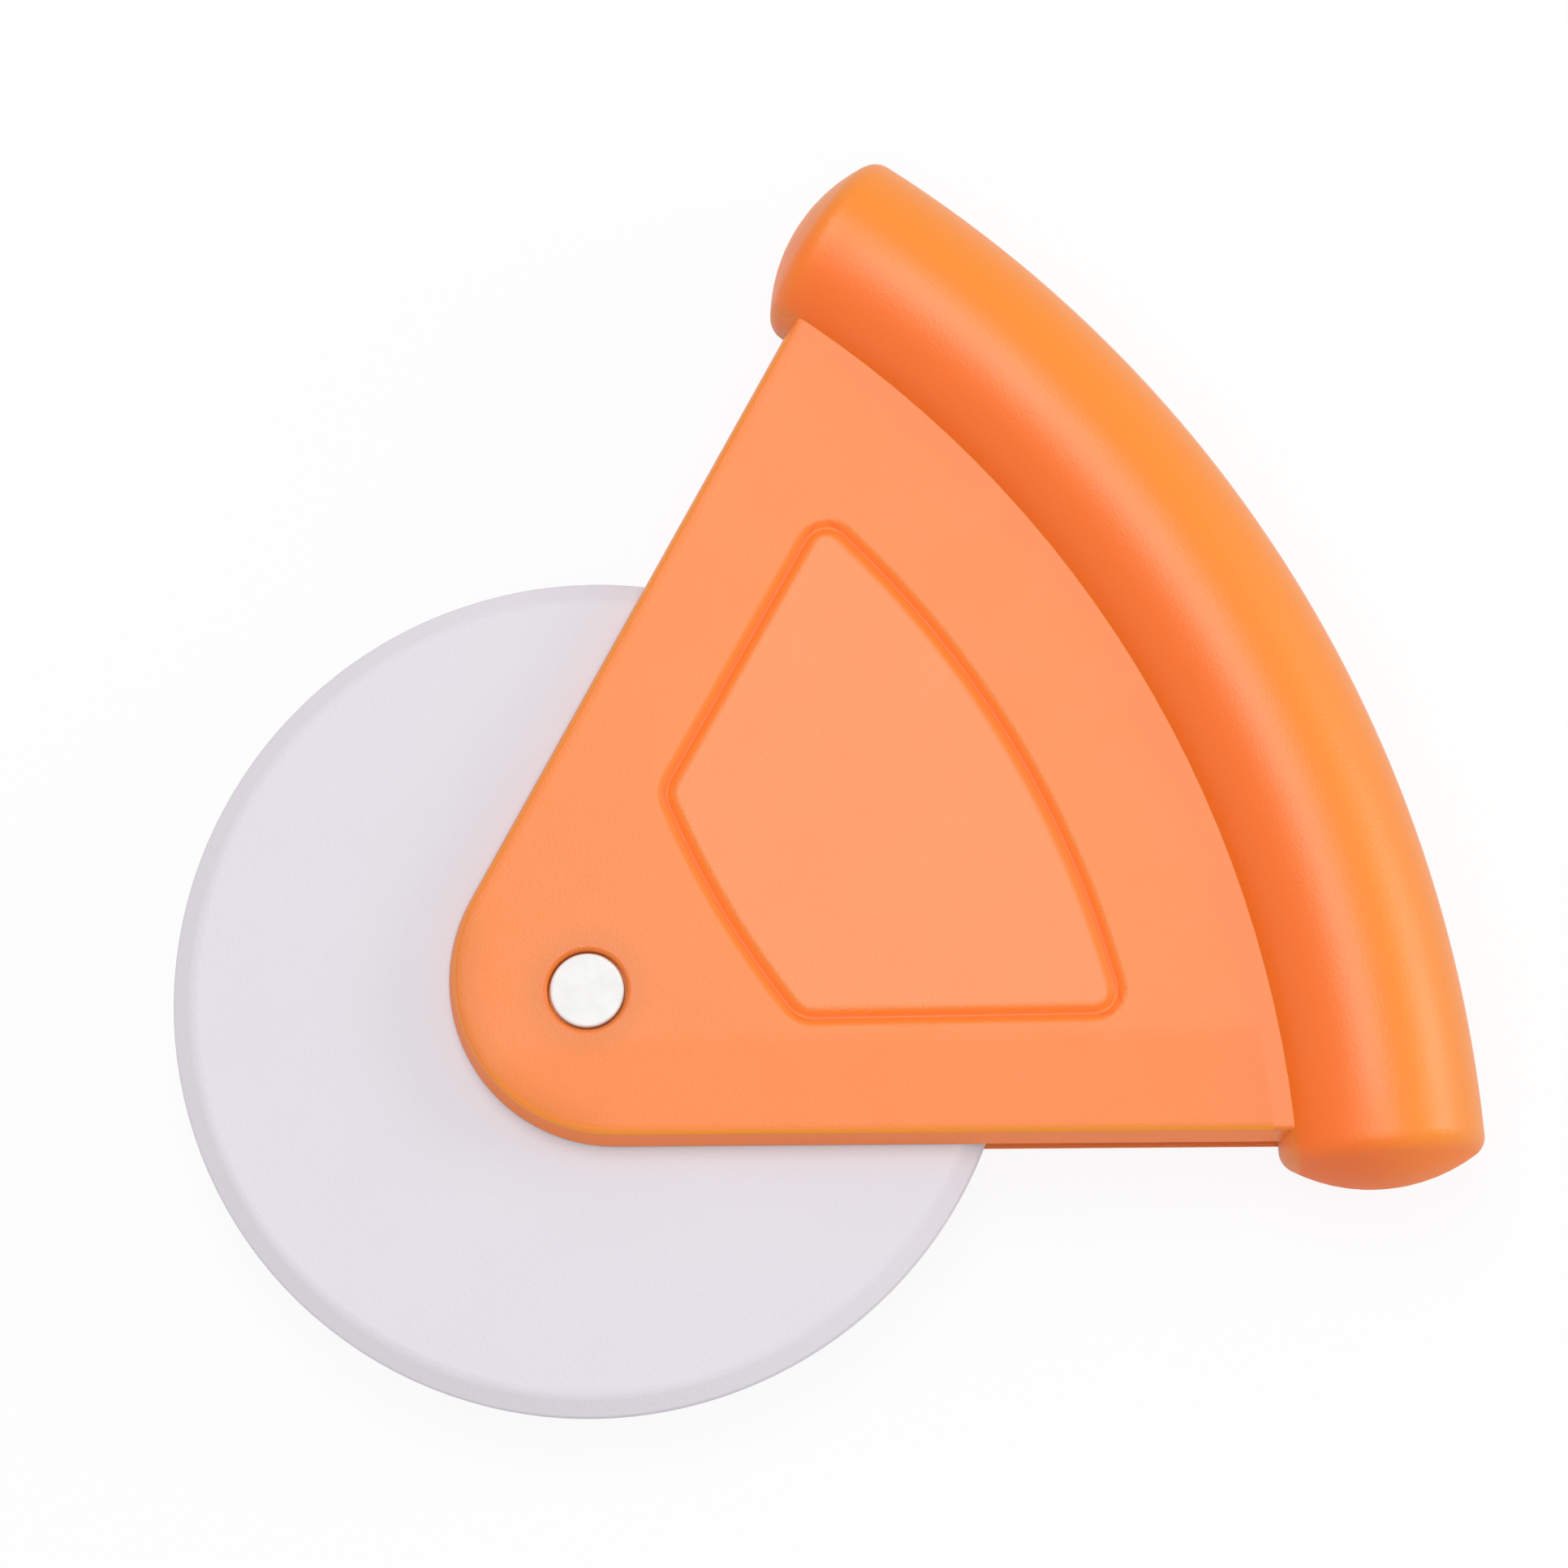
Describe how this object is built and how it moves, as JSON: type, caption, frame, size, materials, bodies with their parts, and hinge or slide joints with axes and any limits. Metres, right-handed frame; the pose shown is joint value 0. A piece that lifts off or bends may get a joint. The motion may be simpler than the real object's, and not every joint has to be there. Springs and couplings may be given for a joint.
{
  "type": "pizza wheel",
  "caption": "Slice-shaped pizza cutter: a bevelled plastic wheel spins on a press rivet in the slot of a moulded handle whose rounded crust fills the palm.",
  "frame": {"origin": "on the ground under the middle of the object's box, with the object lying on its crust and the wheel level", "axes": "+X along the bisector of the slice from the wheel to the crust, +Z along the axle out of the front cheek, +Y across the slice"},
  "size_m": [0.1032, 0.098, 0.017],
  "materials": {
    "orange_shell": "fine satin moulding",
    "white_wheel": "satin moulding",
    "white_rivet": "smooth moulding"
  },
  "bodies": {
    "handle": {"front_shell": "orange_shell", "rear_shell": "orange_shell", "axle_pin": "white_rivet", "axle_barrel": "white_rivet"},
    "wheel": {"cutting_wheel": "white_wheel"}
  },
  "joints": [
    {"name": "wheel_spin", "type": "hinge", "parent": "handle", "child": "wheel", "pos_m": [-0.01665, 0, 0.0085], "axis": [0, 0, 1], "continuous": true}
  ]
}
